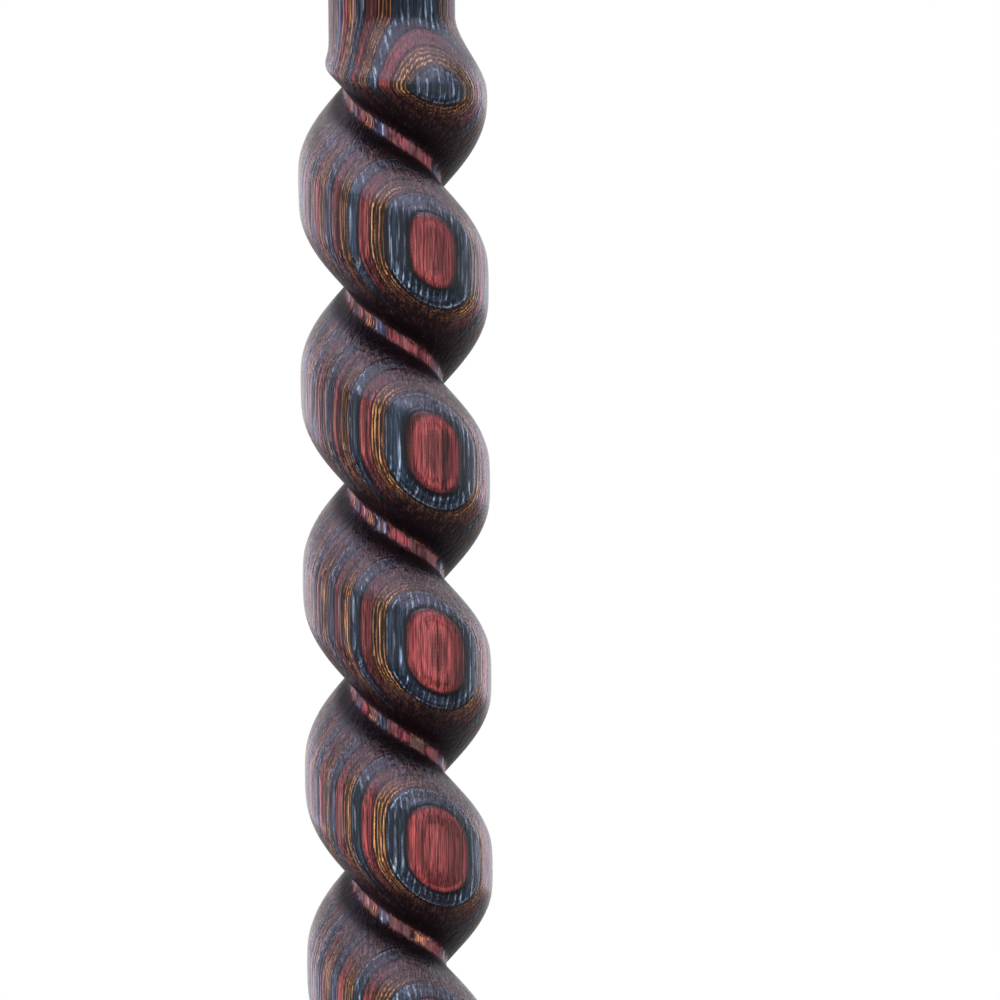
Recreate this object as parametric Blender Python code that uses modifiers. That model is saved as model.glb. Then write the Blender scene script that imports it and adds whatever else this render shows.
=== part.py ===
# A twisted walking cane: a laminated wood shaft with a left-handed carved twist, a wooden handle
# on a metal collar and a hidden stud, and a rubber ferrule over a steel washer at the foot.
# Metres, +Z up. The origin is the middle of the ferrule's flat base, and the veneers are square to X.

import math

import bmesh
import bpy
from mathutils import Matrix, Vector

# How closely the pieces fit
FIT_GAP = 0.0003
STUD_END_GAP = 0.0005

# Plain stretches of the shaft
NECK_RADIUS = 0.0125
NECK_LENGTH = 0.0964
TIP_RADIUS = 0.01175
TIP_CHAMFER = 0.0008
LOWER_TAPER_LENGTH = 0.046
LOWER_TAPER_BELOW_GROOVE = 0.007

# The carved twist
CREST_RADIUS = 0.01915
FLANK_ROOT_RADIUS = 0.0084
GROOVE_FLOOR_RADIUS = 0.0093
GROOVE_FLOOR_BLEND = 0.0009
PITCH = 0.0390
TURNS = 15.4
GROOVE_START_HEIGHT = 0.179
GROOVE_START_ANGLE = math.radians(-66.7)
LOBE_POWER = 2.7
LOBE_SHARPNESS = 1.3
EDGE_BLEND = 0.0006
UPPER_EDGE_BLEND = 0.0018
LOWER_SHOULDER_BELOW = 0.011
LOWER_SHOULDER_ABOVE = 0.013
UPPER_SHOULDER_BELOW = 0.0120
UPPER_SHOULDER_ABOVE = 0.0040
UPPER_SHOULDER_SWING = 0.0055
UPPER_SWING_SHARE = 0.17
LOWER_RUN_OUT = 0.0215
UPPER_RUN_OUT = 0.012
RUN_OUT_POWER = 1.6
RINGS_PER_TURN = 15
POINTS_PER_HALF_LOBE = 9
POINT_CROWDING = 1.2

# Rubber ferrule
FERRULE_HEIGHT = 0.034
FERRULE_FLOOR = 0.0070
BEAD_OUTER_RADIUS = 0.01475
BEAD_STEP = 0.0030
SLEEVE_TOP_RADIUS = 0.0162
SLEEVE_SHOULDER = 0.0034
WAIST_RADIUS = 0.0156
WAIST_HEIGHT = 0.0105
SKIRT_RADIUS = 0.0179
SKIRT_HEIGHT = 0.0036
SKIRT_CURVE = 1.7
BASE_RADIUS = 0.0153
FLUTES = 8
FLUTE_CUTTER_RADIUS = 0.0024
FLUTE_DEPTH = 0.0012
FLUTE_BOTTOM = 0.0082
FLUTE_BELOW_BEAD = 0.0012
FLUTE_ANGLE = math.radians(-80.0)
TREAD_RADII = (0.0126, 0.0084)
TREAD_WIDTH = 0.0018
TREAD_DEPTH = 0.0009

# Steel washer on the ferrule's floor
WASHER_THICKNESS = 0.0015
WASHER_HOLE_RADIUS = 0.0040

# Metal collar round the handle joint
COLLAR_HEIGHT = 0.014
COLLAR_WALL = 0.0010
COLLAR_BEAD = 0.0006
COLLAR_BEAD_HEIGHT = 0.0022

# Steel stud glued into the handle and the shaft
STUD_RADIUS = 0.0040
STUD_LENGTH = 0.060
STUD_CHAMFER = 0.0008

# Handle: how far its top stands above the joint, and the cage's stations from nose to tail as (x, drop
# of its middle below the top, half height, half width). The body's skin lies a little inside the cage.
HANDLE_HEIGHT = 0.060
HANDLE_STATIONS = (
    (0.0510, 0.0260, 0.0085, 0.0075),
    (0.0410, 0.0240, 0.0178, 0.0136),
    (0.0140, 0.0175, 0.0174, 0.0147),
    (0.0000, 0.0170, 0.0170, 0.0145),
    (-0.0140, 0.0165, 0.0165, 0.0145),
    (-0.0430, 0.0165, 0.0140, 0.0140),
    (-0.0720, 0.0235, 0.0115, 0.0122),
    (-0.0830, 0.0280, 0.0065, 0.0070),
)
NECK_STATIONS = (2, 3, 4)
NECK_BLEND_HEIGHT = 0.0055
HANDLE_SKIN = 0.0015
RING_POINTS = 8

SMALL_STEPS = 24
COLLAR_STEPS = 32
FERRULE_STEPS = 40
FLUTE_STEPS = 12
SHARP_EDGE = math.radians(35.0)

# What follows from the sizes above
TURN = 2.0 * math.pi
GROOVE_END_HEIGHT = GROOVE_START_HEIGHT + PITCH * TURNS
TWIST_BOTTOM = GROOVE_START_HEIGHT - LOWER_SHOULDER_BELOW
TWIST_TOP = GROOVE_END_HEIGHT + UPPER_SHOULDER_ABOVE
LOWER_TAPER_TO = GROOVE_START_HEIGHT - LOWER_TAPER_BELOW_GROOVE
LOWER_TAPER_FROM = LOWER_TAPER_TO - LOWER_TAPER_LENGTH
WASHER_BOTTOM = FERRULE_FLOOR + FIT_GAP
WASHER_TOP = WASHER_BOTTOM + WASHER_THICKNESS
SHAFT_BOTTOM = WASHER_TOP + FIT_GAP
SHAFT_TOP = TWIST_TOP + NECK_LENGTH
HANDLE_BOTTOM = SHAFT_TOP + FIT_GAP
HANDLE_TOP = SHAFT_TOP + HANDLE_HEIGHT
SOCKET_RADIUS = TIP_RADIUS + FIT_GAP
STUD_HOLE_RADIUS = STUD_RADIUS + FIT_GAP
STUD_MIDDLE = (SHAFT_TOP + HANDLE_BOTTOM) / 2.0
STUD_HOLE_HALF = STUD_LENGTH / 2.0 + STUD_END_GAP
COLLAR_BORE_RADIUS = NECK_RADIUS + FIT_GAP


def clear_scene():
    for thing in list(bpy.data.objects):
        bpy.data.objects.remove(thing, do_unlink=True)


def new_collection(name):
    made = bpy.data.collections.new(name)
    bpy.context.scene.collection.children.link(made)
    return made


def new_material(name, colour, roughness, metallic):
    made = bpy.data.materials.new(name)
    made.use_nodes = True
    shader = made.node_tree.nodes["Principled BSDF"]
    shader.inputs["Base Color"].default_value = (*colour, 1.0)
    shader.inputs["Roughness"].default_value = roughness
    shader.inputs["Metallic"].default_value = metallic
    made.diffuse_color = (*colour, 1.0)
    return made


def new_object(name, mesh, material, collection):
    made = bpy.data.objects.new(name, mesh)
    if material:
        mesh.materials.append(material)
    collection.objects.link(made)
    return made


def hide_cutter(cutter):
    cutter.hide_render = True
    cutter.display_type = "WIRE"


def cut(piece, cutter):
    boolean = piece.modifiers.new(cutter.name, "BOOLEAN")
    boolean.operation = "DIFFERENCE"
    boolean.solver = "EXACT"
    boolean.object = cutter


def arc(middle, radii, start, end, steps):
    """Points on an ellipse's arc from start to end, in degrees from +X."""
    points = []
    for step in range(steps + 1):
        angle = math.radians(start + (end - start) * step / steps)
        points.append((middle[0] + radii[0] * math.cos(angle), middle[1] + radii[1] * math.sin(angle)))
    return points


def turned(name, profile, steps, material, collection, closed=False):
    """A profile of (radius, height) points, run down its outer side, turned round Z."""
    mesh = bpy.data.meshes.new(name)
    edges = [(index, index + 1) for index in range(len(profile) - 1)]
    if closed:
        edges.append((len(profile) - 1, 0))
    mesh.from_pydata([(radius, 0.0, height) for radius, height in profile], edges, [])
    piece = new_object(name, mesh, material, collection)
    screw = piece.modifiers.new("turn", "SCREW")
    screw.axis = "Z"
    screw.steps = steps
    screw.render_steps = steps
    screw.use_merge_vertices = True
    screw.merge_threshold = 0.000001
    screw.use_smooth_shade = True
    return piece


def smooth_step(low, high, value):
    share = min(max((value - low) / (high - low), 0.0), 1.0)
    return share * share * (3.0 - 2.0 * share)


def smooth_min(first, second, width):
    """The lower of two values, with the corner between them rounded over width."""
    overlap = max(width - abs(first - second), 0.0) / width
    return min(first, second) - overlap * overlap * width / 4.0


def upper_fall(height, share):
    """How far the upper shoulder has come down, from 0 at the full body to 1 at the neck.

    The shoulder is carved by eye and not turned, so it swings down on the side just past the groove.
    """
    nearness = 0.5 + 0.5 * math.cos(TURN * (share - UPPER_SWING_SHARE))
    swung = height + UPPER_SHOULDER_SWING * nearness * nearness
    return smooth_step(GROOVE_END_HEIGHT - UPPER_SHOULDER_BELOW, TWIST_TOP, swung)


def blank_radius(height, share=0.0):
    """The blank before its groove is carved: plain ends and a full body, joined by two shoulders."""
    plain = TIP_RADIUS + (NECK_RADIUS - TIP_RADIUS) * smooth_step(LOWER_TAPER_FROM, LOWER_TAPER_TO, height)
    rise = smooth_step(TWIST_BOTTOM, GROOVE_START_HEIGHT + LOWER_SHOULDER_ABOVE, height)
    return plain + (CREST_RADIUS - plain) * rise * (1.0 - upper_fall(height, share))


def lobe_radius(share):
    """The carved section across one lobe: share runs from 0 at a groove, by 0.5 at the crest, to 1.

    The flanks of two lobes would meet in a sharp root, and a round tool leaves a wider floor above it.
    """
    side = abs(2.0 * share - 1.0)
    fullness = max(1.0 - side**LOBE_POWER, 0.0) ** LOBE_SHARPNESS
    flank = FLANK_ROOT_RADIUS + (CREST_RADIUS - FLANK_ROOT_RADIUS) * fullness
    return -smooth_min(-flank, -GROOVE_FLOOR_RADIUS, GROOVE_FLOOR_BLEND)


def groove_lift(height):
    """How far the carving tool has left the work where the groove's centre line is at this height."""
    below = max(1.0 - (height - GROOVE_START_HEIGHT) / LOWER_RUN_OUT, 0.0)
    above = max(1.0 - (GROOVE_END_HEIGHT - height) / UPPER_RUN_OUT, 0.0)
    low_lift = (blank_radius(GROOVE_START_HEIGHT) - GROOVE_FLOOR_RADIUS) * below**RUN_OUT_POWER
    high_lift = (blank_radius(GROOVE_END_HEIGHT) - GROOVE_FLOOR_RADIUS) * above**RUN_OUT_POWER
    return max(low_lift, high_lift)


def shaft_radius(height, share):
    """The finished surface, share of a turn round from the groove at the same height."""
    groove_height = height - share * PITCH
    if share > 0.5:
        groove_height += PITCH
    carved = lobe_radius(share) + groove_lift(groove_height)
    blend = EDGE_BLEND + (UPPER_EDGE_BLEND - EDGE_BLEND) * upper_fall(height, share)
    return smooth_min(blank_radius(height, share), carved, blend)


def ring_heights():
    """Heights of the shaft's sections, close together in the twist and few on the plain ends."""
    lower_steps = 4
    heights = [SHAFT_BOTTOM + TIP_CHAMFER, FERRULE_HEIGHT, LOWER_TAPER_FROM]
    for step in range(1, lower_steps):
        heights.append(LOWER_TAPER_FROM + (TWIST_BOTTOM - LOWER_TAPER_FROM) * step / lower_steps)
    rings = math.ceil((TWIST_TOP - TWIST_BOTTOM) / PITCH * RINGS_PER_TURN)
    for step in range(rings + 1):
        heights.append(TWIST_BOTTOM + (TWIST_TOP - TWIST_BOTTOM) * step / rings)
    heights.append(SHAFT_TOP)
    return heights


def section_shares():
    """Places round a section, as shares of a turn from the groove, crowded near the groove."""
    half = [0.5 * (step / POINTS_PER_HALF_LOBE) ** POINT_CROWDING for step in range(POINTS_PER_HALF_LOBE + 1)]
    return half + [1.0 - share for share in reversed(half[1:-1])]


def groove_angle(height):
    """The groove's bearing at a height. It turns left-handed and stands still on the plain ends."""
    climbed = min(max(height, TWIST_BOTTOM), TWIST_TOP) - GROOVE_START_HEIGHT
    return GROOVE_START_ANGLE - TURN * climbed / PITCH


def build_shaft(material, collection):
    """A loft of carved sections that turns with the groove, so that the edges run along it."""
    shares = section_shares()
    sections = [(SHAFT_BOTTOM, TIP_CHAMFER)] + [(height, 0.0) for height in ring_heights()]
    shape = bmesh.new()
    rings = []
    for height, chamfer in sections:
        ring = []
        for share in shares:
            angle = groove_angle(height) + TURN * share
            radius = shaft_radius(height, share) - chamfer
            ring.append(shape.verts.new((radius * math.cos(angle), radius * math.sin(angle), height)))
        rings.append(ring)
    count = len(shares)
    for lower, upper in zip(rings, rings[1:]):
        for index in range(count):
            following = (index + 1) % count
            shape.faces.new((lower[index], lower[following], upper[following], upper[index]))
    shape.faces.new(list(reversed(rings[0])))
    shape.faces.new(rings[-1])
    mesh = bpy.data.meshes.new("shaft")
    shape.to_mesh(mesh)
    shape.free()
    mesh.shade_smooth()
    mesh.set_sharp_from_angle(angle=SHARP_EDGE)
    return new_object("shaft", mesh, material, collection)


def build_stud_hole(collection):
    """One drill for both blind holes, which the stud then bridges."""
    shape = bmesh.new()
    bmesh.ops.create_cone(
        shape,
        cap_ends=True,
        segments=SMALL_STEPS,
        radius1=STUD_HOLE_RADIUS,
        radius2=STUD_HOLE_RADIUS,
        depth=2.0 * STUD_HOLE_HALF,
    )
    mesh = bpy.data.meshes.new("stud_hole")
    shape.to_mesh(mesh)
    shape.free()
    drill = new_object("stud_hole", mesh, None, collection)
    drill.location.z = STUD_MIDDLE
    hide_cutter(drill)
    return drill


def build_stud(material, collection):
    half = STUD_LENGTH / 2.0
    profile = [
        (0.0, half),
        (STUD_RADIUS - STUD_CHAMFER, half),
        (STUD_RADIUS, half - STUD_CHAMFER),
        (STUD_RADIUS, STUD_CHAMFER - half),
        (STUD_RADIUS - STUD_CHAMFER, -half),
        (0.0, -half),
    ]
    stud = turned("handle_stud", profile, SMALL_STEPS, material, collection)
    stud.location.z = STUD_MIDDLE
    return stud


def build_collar(material, collection):
    """A sleeve over both ends of the joint, with a rounded bead at its top and bottom."""
    half = COLLAR_HEIGHT / 2.0
    outer = COLLAR_BORE_RADIUS + COLLAR_WALL
    bead = COLLAR_BEAD_HEIGHT / 2.0
    upper_bead = arc((outer, half - bead), (COLLAR_BEAD, bead), 90.0, -90.0, 3)
    lower_bead = arc((outer, bead - half), (COLLAR_BEAD, bead), 90.0, -90.0, 3)
    profile = [(COLLAR_BORE_RADIUS, -half), (COLLAR_BORE_RADIUS, half)] + upper_bead + lower_bead
    collar = turned("collar", profile, COLLAR_STEPS, material, collection, closed=True)
    collar.location.z = STUD_MIDDLE
    return collar


def build_handle(material, collection):
    """A coarse cage, nose at +X, with its neck drawn down out of the underside, then subdivided."""
    shape = bmesh.new()
    rings = []
    for along, drop, half_height, half_width in HANDLE_STATIONS:
        middle = HANDLE_TOP + HANDLE_SKIN - drop
        ring = []
        for index in range(RING_POINTS):
            angle = TURN * index / RING_POINTS
            across = half_width * math.cos(angle)
            up = half_height * math.sin(angle)
            ring.append(shape.verts.new((along, across, middle + up)))
        rings.append(ring)
    bottom = 3 * RING_POINTS // 4
    open_faces = {(station, side) for station in NECK_STATIONS[:-1] for side in (bottom - 1, bottom)}
    for station in range(len(rings) - 1):
        front, back = rings[station], rings[station + 1]
        for side in range(RING_POINTS):
            if (station, side) in open_faces:
                continue
            following = (side + 1) % RING_POINTS
            shape.faces.new((front[side], front[following], back[following], back[side]))
    shape.faces.new(list(reversed(rings[0])))
    shape.faces.new(rings[-1])
    first, middle, last = (rings[station] for station in NECK_STATIONS)
    mouth = [
        middle[bottom - 1],
        first[bottom - 1],
        first[bottom],
        first[bottom + 1],
        middle[bottom + 1],
        last[bottom + 1],
        last[bottom],
        last[bottom - 1],
    ]
    shape.verts.remove(middle[bottom])
    skin_share = (4.0 + 2.0 * math.cos(TURN / RING_POINTS)) / 6.0
    cage_radius = NECK_RADIUS / skin_share
    collar_top = STUD_MIDDLE + COLLAR_HEIGHT / 2.0
    upper = mouth
    for height in (collar_top + NECK_BLEND_HEIGHT, collar_top, HANDLE_BOTTOM):
        lower = []
        for index in range(RING_POINTS):
            start = math.atan2(mouth[index].co.y, mouth[index].co.x)
            bearing = TURN * round(start * RING_POINTS / TURN) / RING_POINTS
            across = Vector((math.cos(bearing), math.sin(bearing), 0.0)) * cage_radius
            lower.append(shape.verts.new(across + Vector((0.0, 0.0, height))))
        for index in range(RING_POINTS):
            following = (index + 1) % RING_POINTS
            shape.faces.new((upper[index], upper[following], lower[following], lower[index]))
        upper = lower
    seat = shape.faces.new(upper)
    bmesh.ops.recalc_face_normals(shape, faces=shape.faces)
    crease = shape.edges.layers.float.new("crease_edge")
    for edge in seat.edges:
        edge[crease] = 1.0
    mesh = bpy.data.meshes.new("handle")
    shape.to_mesh(mesh)
    shape.free()
    mesh.shade_smooth()
    handle = new_object("handle", mesh, material, collection)
    skin = handle.modifiers.new("skin", "SUBSURF")
    skin.levels = 2
    skin.render_levels = 2
    return handle


def ferrule_profile():
    """The cup's section: socket, bead, sleeve, skirt, rounded foot and the rings of its tread."""
    bead_half = (BEAD_OUTER_RADIUS - SOCKET_RADIUS) / 2.0
    bead_middle = (SOCKET_RADIUS + bead_half, FERRULE_HEIGHT - bead_half)
    crease_height = FERRULE_HEIGHT - BEAD_STEP
    profile = [(0.0, FERRULE_FLOOR), (SOCKET_RADIUS, FERRULE_FLOOR)]
    profile += arc(bead_middle, (bead_half, bead_half), 180.0, 0.0, 4)
    shoulder_radii = (SLEEVE_TOP_RADIUS - BEAD_OUTER_RADIUS, SLEEVE_SHOULDER)
    profile += arc((BEAD_OUTER_RADIUS, crease_height - SLEEVE_SHOULDER), shoulder_radii, 90.0, 0.0, 3)
    skirt_steps = 3
    for step in range(skirt_steps):
        share = step / skirt_steps
        radius = WAIST_RADIUS + (SKIRT_RADIUS - WAIST_RADIUS) * share**SKIRT_CURVE
        profile.append((radius, WAIST_HEIGHT + (SKIRT_HEIGHT - WAIST_HEIGHT) * share))
    foot_radii = (SKIRT_RADIUS - BASE_RADIUS, SKIRT_HEIGHT)
    profile += arc((BASE_RADIUS, SKIRT_HEIGHT), foot_radii, 0.0, -90.0, 4)
    for radius in TREAD_RADII:
        profile += [(radius + TREAD_WIDTH / 2.0, 0.0), (radius, TREAD_DEPTH), (radius - TREAD_WIDTH / 2.0, 0.0)]
    profile.append((0.0, 0.0))
    return profile


def build_ferrule(material, collection, cutters):
    ferrule = turned("ferrule", ferrule_profile(), FERRULE_STEPS, material, collection)
    bottom = FLUTE_BOTTOM + FLUTE_CUTTER_RADIUS
    top = FERRULE_HEIGHT - BEAD_STEP - FLUTE_BELOW_BEAD - FLUTE_CUTTER_RADIUS
    ends = (FLUTE_CUTTER_RADIUS, FLUTE_CUTTER_RADIUS)
    capsule = arc((0.0, top), ends, 90.0, 0.0, 3) + arc((0.0, bottom), ends, 0.0, -90.0, 3)
    for index in range(FLUTES):
        cutter = turned(f"flute_{index + 1}", capsule, FLUTE_STEPS, None, cutters)
        angle = FLUTE_ANGLE + TURN * index / FLUTES
        middle = SLEEVE_TOP_RADIUS - FLUTE_DEPTH + FLUTE_CUTTER_RADIUS
        cutter.matrix_world = Matrix.Rotation(angle, 4, "Z") @ Matrix.Translation((middle, 0.0, 0.0))
        hide_cutter(cutter)
        cut(ferrule, cutter)
    return ferrule


def build_washer(material, collection):
    outer = TIP_RADIUS
    profile = [
        (WASHER_HOLE_RADIUS, WASHER_BOTTOM),
        (WASHER_HOLE_RADIUS, WASHER_TOP),
        (outer, WASHER_TOP),
        (outer, WASHER_BOTTOM),
    ]
    return turned("tip_washer", profile, SMALL_STEPS, material, collection, closed=True)


def build_cane():
    clear_scene()
    cane = new_collection("twisted_walking_cane")
    cutters = new_collection("cutters")

    shaft_wood = new_material("shaft_wood", (0.16, 0.06, 0.05), 0.35, 0.0)
    handle_wood = new_material("handle_wood", (0.16, 0.06, 0.05), 0.35, 0.0)
    ferrule_rubber = new_material("ferrule_rubber", (0.012, 0.012, 0.013), 0.55, 0.0)
    collar_brass = new_material("collar_brass", (0.80, 0.55, 0.22), 0.25, 1.0)
    stud_steel = new_material("stud_steel", (0.55, 0.55, 0.56), 0.4, 1.0)
    washer_steel = new_material("washer_steel", (0.60, 0.60, 0.62), 0.35, 1.0)

    shaft = build_shaft(shaft_wood, cane)
    handle = build_handle(handle_wood, cane)
    drill = build_stud_hole(cutters)
    cut(shaft, drill)
    cut(handle, drill)
    build_stud(stud_steel, cane)
    build_collar(collar_brass, cane)
    build_ferrule(ferrule_rubber, cane, cutters)
    build_washer(washer_steel, cane)
    bpy.context.view_layer.update()


build_cane()
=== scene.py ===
# Twisted walking cane: carved laminated shaft, palm handle on a brass collar, rubber ferrule.
# Metres, +Z up. The veneers of the shaft are square to X.
import math

import bmesh
import bpy
from mathutils import Matrix, Vector


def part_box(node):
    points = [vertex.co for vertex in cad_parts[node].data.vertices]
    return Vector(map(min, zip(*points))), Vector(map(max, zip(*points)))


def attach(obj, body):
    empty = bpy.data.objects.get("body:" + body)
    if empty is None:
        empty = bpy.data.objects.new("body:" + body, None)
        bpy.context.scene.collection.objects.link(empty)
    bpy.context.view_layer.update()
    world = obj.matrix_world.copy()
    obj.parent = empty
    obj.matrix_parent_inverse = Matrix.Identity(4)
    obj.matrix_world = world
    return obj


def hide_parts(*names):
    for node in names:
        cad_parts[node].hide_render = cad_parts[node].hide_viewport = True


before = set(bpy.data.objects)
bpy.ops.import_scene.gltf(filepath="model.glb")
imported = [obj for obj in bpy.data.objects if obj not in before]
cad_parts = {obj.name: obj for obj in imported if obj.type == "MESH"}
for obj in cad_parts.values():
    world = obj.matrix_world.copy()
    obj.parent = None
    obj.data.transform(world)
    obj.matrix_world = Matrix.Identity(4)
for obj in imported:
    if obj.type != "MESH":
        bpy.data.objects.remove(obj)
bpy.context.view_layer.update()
fullTurn = 2.0 * math.pi
mm = 0.001


def clamp(value, low=0.0, high=1.0):
    return min(max(value, low), high)


def smoothStep(low, high, value):
    share = clamp((value - low) / (high - low))
    return share * share * (3.0 - 2.0 * share)


def smoothMin(first, second, width):
    overlap = max(width - abs(first - second), 0.0) / width
    return min(first, second) - overlap * overlap * width / 4.0


def arc(middle, radii, start, end, steps):
    points = []
    for step in range(steps + 1):
        angle = math.radians(start + (end - start) * step / steps)
        points.append((middle[0] + radii[0] * math.cos(angle), middle[1] + radii[1] * math.sin(angle)))
    return points


# Node helpers

def addNode(tree, kind, label, **settings):
    node = tree.nodes.new(kind)
    node.label = label
    for name, value in settings.items():
        setattr(node, name, value)
    return node


def feed(tree, socket, value):
    if isinstance(value, bpy.types.NodeSocket):
        tree.links.new(value, socket)
    elif value is not None:
        socket.default_value = value


def maths(tree, operation, first, second=None, third=None, clampIt=False):
    node = addNode(tree, "ShaderNodeMath", operation.lower(), operation=operation, use_clamp=clampIt)
    for socket, value in zip(node.inputs, (first, second, third)):
        feed(tree, socket, value)
    return node.outputs[0]


def stepBetween(tree, value, low, high, fromValue=0.0, toValue=1.0):
    node = addNode(tree, "ShaderNodeMapRange", "soft step", interpolation_type="SMOOTHSTEP")
    for socket, amount in zip(node.inputs, (value, low, high, fromValue, toValue)):
        feed(tree, socket, amount)
    return node.outputs["Result"]


def blendColours(tree, factor, first, second, mode="MIX"):
    node = addNode(tree, "ShaderNodeMix", mode.lower(), data_type="RGBA", blend_type=mode)
    feed(tree, node.inputs[0], factor)
    feed(tree, node.inputs[6], first)
    feed(tree, node.inputs[7], second)
    return node.outputs[2]


def scaledPlaces(tree, places, factors):
    node = addNode(tree, "ShaderNodeVectorMath", "stretch", operation="MULTIPLY")
    feed(tree, node.inputs[0], places)
    node.inputs[1].default_value = factors
    return node.outputs[0]


def sizedPlaces(tree, places, size):
    node = addNode(tree, "ShaderNodeVectorMath", "size", operation="SCALE")
    feed(tree, node.inputs[0], places)
    feed(tree, node.inputs["Scale"], maths(tree, "DIVIDE", 1.0, size))
    return node.outputs[0]


def noiseOn(tree, places, detail=2.0, roughness=0.5, distortion=0.0, fourth=None):
    node = addNode(tree, "ShaderNodeTexNoise", "noise")
    feed(tree, node.inputs["Vector"], places)
    if fourth is not None:
        node.noise_dimensions = "4D"
        feed(tree, node.inputs["W"], fourth)
    node.inputs["Scale"].default_value = 1.0
    node.inputs["Detail"].default_value = detail
    node.inputs["Roughness"].default_value = roughness
    node.inputs["Distortion"].default_value = distortion
    return node.outputs["Fac"]


def newGroup(name, inputs, outputs):
    group = bpy.data.node_groups.new(name, "ShaderNodeTree")
    for label, kind, value in inputs:
        socket = group.interface.new_socket(name=label, in_out="INPUT", socket_type="NodeSocket" + kind)
        if value is not None:
            socket.default_value = value
    for label, kind in outputs:
        group.interface.new_socket(name=label, in_out="OUTPUT", socket_type="NodeSocket" + kind)
    given = addNode(group, "NodeGroupInput", "in").outputs
    results = addNode(group, "NodeGroupOutput", "out").inputs
    places = scaledPlaces(group, given["Places"], (1000.0, 1000.0, 1000.0))  # now in millimetres
    return group, given, results, places


# Laminated veneers: red, gold and navy plies pressed flat, with the grain along Z
veneerInputs = (
    ("Places", "Vector", None),      # metres, X across the plies and Z along the grain
    ("Slope", "Float", 0.0),         # how squarely the surface cuts the grain, from 0 to 1
    ("Rise", "Float", 0.0),          # the surface normal's height, from -1 to 1
    ("Flat", "Float", 0.0),          # how squarely the surface shows a ply's face, from 0 to 1
    ("Red Ply", "Float", 1.68),      # thicknesses in millimetres
    ("Gold Ply", "Float", 1.52),
    ("Navy Ply", "Float", 1.80),
    ("Shift", "Float", 0.65),        # where the first red ply starts, in millimetres
    ("Lean", "Float", -5.0),         # how far the plies stray over a metre, in millimetres
    ("Wander", "Float", 0.30),       # how far a ply wanders, in millimetres
    ("Feather", "Float", 0.14),      # how ragged the joints are, in millimetres
    ("Stain", "Float", 1.0),         # strength of the light and dark streaks
)
veneerOutputs = (("Color", "Color"), ("Roughness", "Float"), ("Height", "Float"), ("Polish", "Float"))
veneerColours = {
    "redDark": (0.165, 0.028, 0.033),
    "redMid": (0.210, 0.038, 0.041),
    "redLight": (0.330, 0.070, 0.066),
    "redVein": (0.020, 0.003, 0.006),
    "redTilted": (0.080, 0.026, 0.027),
    "maroon": (0.050, 0.014, 0.016),
    "goldDark": (0.016, 0.007, 0.005),
    "goldMid": (0.210, 0.080, 0.030),
    "goldLight": (0.560, 0.270, 0.105),
    "goldTilted": (0.115, 0.051, 0.031),
    "navyDark": (0.004, 0.006, 0.011),
    "navyMid": (0.011, 0.017, 0.030),
    "navyLight": (0.025, 0.038, 0.064),
    # painted highlight: the pale streaks and dashes on the navy plies
    "paintedGlintStreak": (0.300, 0.380, 0.500),
    "glue": (0.003, 0.002, 0.003),
    "wine": (0.052, 0.022, 0.036),
    "paleHair": (0.480, 0.310, 0.320),
    "lilacHair": (0.260, 0.270, 0.460),
    "goldHair": (0.420, 0.200, 0.085),
    # the end grain's darker colour, also painted as shade on the undersides and in the groove
    "endGrainAndShade": (0.0095, 0.0042, 0.0055),
    "endFleck": (0.125, 0.064, 0.058),
    "grooveFloorLight": (1.55, 1.25, 1.50),     # painted light: what the groove's floor multiplies the wood by
}
# waves a millimetre across the plies, along them and up the grain; detail; roughness
veneerNoises = {
    "wander": ((0.05, 0.03, 0.012), 1.0, 0.50),
    "feather": ((0.5, 2.6, 0.30), 3.0, 0.65),
    "broad": ((0.25, 0.22, 0.020), 2.0, 0.50),
    "streaks": ((0.28, 1.70, 0.030), 2.0, 0.60),
    "layers": ((2.6, 0.10, 0.014), 1.0, 0.50),
    "fine": ((3.2, 4.2, 0.12), 2.0, 0.65),
    "broken": ((0.5, 1.0, 0.16), 2.0, 0.60),
    "fibres": ((3.6, 4.6, 0.16), 2.0, 0.70),
    "dullness": ((0.3, 0.25, 0.035), 1.0, 0.50),
    "hairs": ((3.1, 1.0, 0.035), 2.0, 0.60),
}
poreWaves = {"pores": (2.4, 0.75), "mottle": (0.9, 0.50)}    # waves a millimetre round the stick and up it
poreTexture = (2.0, 0.6)             # detail and roughness
stickRadius = 17.0                   # where the waves round the stick are counted, in millimetres
veneerMixes = {                      # how much of each value is in a sum
    "veinComb": {"alongPly": 3.6, "broad": 14.0, "acrossPlies": 1.7},    # in radians
    "paleComb": {"alongPly": 5.0, "broad": 9.0, "streaks": 2.0},
    "goldStrays": {"streaks": 6.0, "broken": 4.0},
    "rough": {"fine": 0.16, "cutAcross": 0.10},
    "grainRelief": {"veins": -0.4, "layers": 1.2, "streaks": 0.8, "fine": 0.4},
    "endRelief": {"pores": 1.5, "mottle": 3.0},
    "plyRelief": {"isNavy": 0.5, "glue": -0.4},
}
goldWaves = 16.0                     # of the layers in a gold ply, in radians a millimetre
thinLayerDepth = 0.34                # of the thin layer in a navy ply that the painted glints follow, in millimetres
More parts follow.
